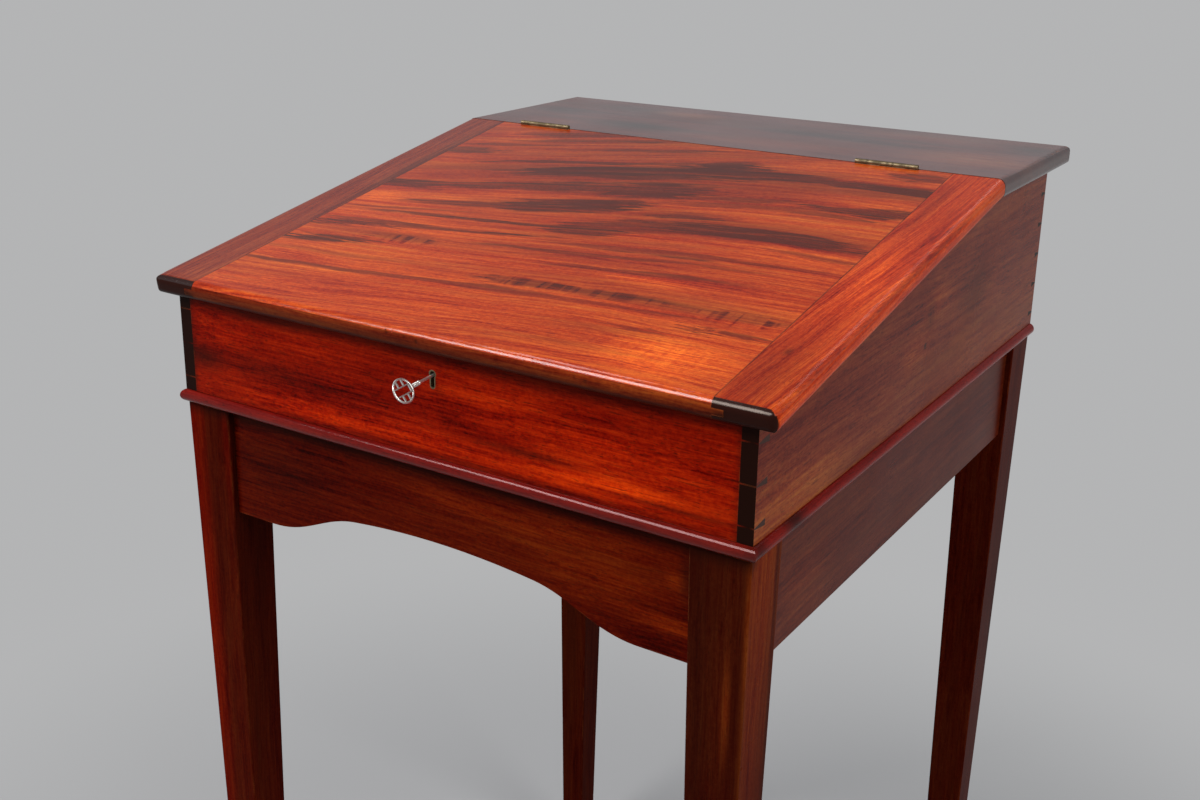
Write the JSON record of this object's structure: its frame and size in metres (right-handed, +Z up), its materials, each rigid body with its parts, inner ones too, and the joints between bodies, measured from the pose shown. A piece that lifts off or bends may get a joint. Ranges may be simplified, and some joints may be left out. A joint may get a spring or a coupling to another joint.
{
  "type": "clerk's standing desk",
  "caption": "Tall slope-top writing desk: dovetailed box with hinged lid, flat rear shelf and lock, on a stand with a half-round bead, shaped front apron and tapered legs.",
  "frame": {"origin": "on the floor, under the middle of the whole object's bounding box, which takes in the key", "axes": "+Z up, +X to the sitter's right, +Y towards the back; the front with its keyhole faces -Y"},
  "size_m": [0.648, 0.762, 1.141],
  "materials": {
    "mahogany_lid": "French-polished mahogany, streaked, grain across",
    "mahogany_cleats": "French-polished mahogany, grain front to back",
    "mahogany_top": "French-polished mahogany, dark",
    "mahogany_front": "French-polished red mahogany",
    "mahogany_sides": "polished mahogany, faded brown",
    "mahogany_bead": "polished dark red mahogany",
    "mahogany_stand": "polished dark mahogany",
    "deal": "plain sawn pine",
    "brass": "old brass, dulled",
    "steel": "old iron and steel screws",
    "key_nickel": "worn nickel plate"
  },
  "bodies": {
    "desk": {"leg_front_left": "mahogany_stand", "leg_front_right": "mahogany_stand", "leg_rear_left": "mahogany_stand", "leg_rear_right": "mahogany_stand", "apron_front": "mahogany_stand", "apron_rear": "mahogany_stand", "apron_left": "mahogany_stand", "apron_right": "mahogany_stand", "bead_front": "mahogany_bead", "bead_left": "mahogany_bead", "bead_right": "mahogany_bead", "box_front": "mahogany_front", "box_left": "mahogany_sides", "box_right": "mahogany_sides", "box_back": "mahogany_sides", "fixed_top": "mahogany_top", "box_bottom": "deal", "stand_glue_blocks": "deal", "top_glue_blocks": "deal", "hinge_left_top_leaf": "brass", "hinge_right_top_leaf": "brass", "hinge_left_pin": "brass", "hinge_right_pin": "brass", "keyhole_escutcheon": "brass", "lock_plate": "brass", "lock_case": "brass", "stand_screws": "steel", "hinge_top_screws": "steel", "lock_screws": "steel"},
    "lid": {"lid_panel": "mahogany_lid", "lid_cleat_left": "mahogany_cleats", "lid_cleat_right": "mahogany_cleats", "hinge_left_lid_leaf": "brass", "hinge_right_lid_leaf": "brass", "link_plate": "brass", "hinge_lid_screws": "steel", "link_plate_screws": "steel"},
    "drill_pin": {"drill_pin": "steel"},
    "lock_bolt": {"lock_bolt": "brass"},
    "key": {"key": "key_nickel"}
  },
  "joints": [
    {"name": "lid_hinge", "type": "hinge", "parent": "desk", "child": "lid", "pos_m": [0, 0.14803, 1.1385], "axis": [-1, 0, 0], "range_deg": [0, 190]},
    {"name": "key_turn", "type": "hinge", "parent": "desk", "child": "drill_pin", "pos_m": [0.002, -0.31597, 1.0105], "axis": [0, 0.9976, 0.0698], "range_deg": [0, 360]},
    {"name": "key_withdraw", "type": "slide", "parent": "drill_pin", "child": "key", "axis": [0, -0.9976, -0.0698], "range_m": [0, 0.045]},
    {"name": "bolt_throw", "type": "slide", "parent": "desk", "child": "lock_bolt", "axis": [1, 0, 0], "range_m": [0, 0.006]}
  ],
  "couplings": [
    {"joint": "bolt_throw", "follows": "key_turn", "m_per_rad": 0.00095493}
  ]
}
